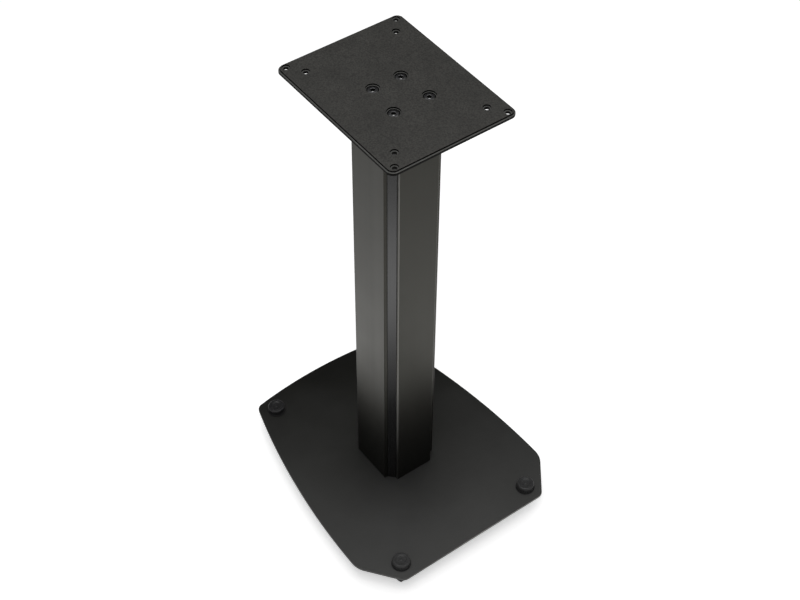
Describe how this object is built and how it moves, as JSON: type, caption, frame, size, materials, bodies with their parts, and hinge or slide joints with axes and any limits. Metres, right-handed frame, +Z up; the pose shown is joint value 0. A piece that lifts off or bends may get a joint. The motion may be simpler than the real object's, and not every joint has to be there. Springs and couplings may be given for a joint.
{
  "type": "speaker stand",
  "caption": "Floor stand for a small loudspeaker: spiked steel base plate, hollow grooved column and a top plate with a grained mat and bolt holes.",
  "frame": {"origin": "on the floor, below the middle of the base plate", "axes": "+Z up, -Y towards the stand's front, where the base plate is straight, +X to the right as seen from the front"},
  "size_m": [0.33, 0.388, 0.722],
  "materials": {
    "base_steel": "satin black powder coat",
    "column_metal": "extruded, satin dark grey powder coat",
    "flange_metal": "bare, as sawn",
    "top_steel": "satin black powder coat",
    "mat_rubber": "fine pebble grain",
    "strip_plastic": "smooth satin, slightly blue",
    "screw_steel": "black oxide",
    "plain_steel": "zinc plated",
    "spike_steel": "turned, black nickel plated",
    "knob_metal": "turned, satin black",
    "washer_plastic": "matt black"
  },
  "bodies": {
    "stand": {"base_plate": "base_steel", "weld_nuts": "plain_steel", "column": "column_metal", "corner_strip_front_left": "strip_plastic", "corner_strip_front_right": "strip_plastic", "corner_strip_back_left": "strip_plastic", "corner_strip_back_right": "strip_plastic", "lower_flange": "flange_metal", "upper_flange": "flange_metal", "base_screws": "screw_steel", "screw_washers": "plain_steel", "top_plate": "top_steel", "top_screws": "screw_steel", "top_mat": "mat_rubber"},
    "knob_washer_front_left": {"knob_washer_front_left": "washer_plastic"},
    "foot_front_left": {"spike_front_left": "spike_steel", "foot_knob_front_left": "knob_metal"},
    "knob_washer_front_right": {"knob_washer_front_right": "washer_plastic"},
    "foot_front_right": {"spike_front_right": "spike_steel", "foot_knob_front_right": "knob_metal"},
    "knob_washer_back_left": {"knob_washer_back_left": "washer_plastic"},
    "foot_back_left": {"spike_back_left": "spike_steel", "foot_knob_back_left": "knob_metal"},
    "knob_washer_back_right": {"knob_washer_back_right": "washer_plastic"},
    "foot_back_right": {"spike_back_right": "spike_steel", "foot_knob_back_right": "knob_metal"}
  },
  "joints": [
    {"name": "washer_lift_front_left", "type": "slide", "parent": "stand", "child": "knob_washer_front_left", "axis": [0, 0, 1], "range_m": [0, 0.007]},
    {"name": "knob_turn_front_left", "type": "hinge", "parent": "knob_washer_front_left", "child": "foot_front_left", "pos_m": [-0.11114, -0.1694, 0.0475], "axis": [0, 0, 1], "range_deg": [0, 2017]},
    {"name": "washer_lift_front_right", "type": "slide", "parent": "stand", "child": "knob_washer_front_right", "axis": [0, 0, 1], "range_m": [0, 0.007]},
    {"name": "knob_turn_front_right", "type": "hinge", "parent": "knob_washer_front_right", "child": "foot_front_right", "pos_m": [0.11114, -0.1694, 0.0475], "axis": [0, 0, 1], "range_deg": [0, 2017]},
    {"name": "washer_lift_back_left", "type": "slide", "parent": "stand", "child": "knob_washer_back_left", "axis": [0, 0, 1], "range_m": [0, 0.007]},
    {"name": "knob_turn_back_left", "type": "hinge", "parent": "knob_washer_back_left", "child": "foot_back_left", "pos_m": [-0.09972, 0.1618, 0.0475], "axis": [0, 0, 1], "range_deg": [0, 2017]},
    {"name": "washer_lift_back_right", "type": "slide", "parent": "stand", "child": "knob_washer_back_right", "axis": [0, 0, 1], "range_m": [0, 0.007]},
    {"name": "knob_turn_back_right", "type": "hinge", "parent": "knob_washer_back_right", "child": "foot_back_right", "pos_m": [0.09972, 0.1618, 0.0475], "axis": [0, 0, 1], "range_deg": [0, 2017]}
  ],
  "couplings": [
    {"joint": "knob_turn_front_left", "follows": "washer_lift_front_left", "rad_per_m": 5026.5},
    {"joint": "knob_turn_front_right", "follows": "washer_lift_front_right", "rad_per_m": 5026.5},
    {"joint": "knob_turn_back_left", "follows": "washer_lift_back_left", "rad_per_m": 5026.5},
    {"joint": "knob_turn_back_right", "follows": "washer_lift_back_right", "rad_per_m": 5026.5}
  ]
}
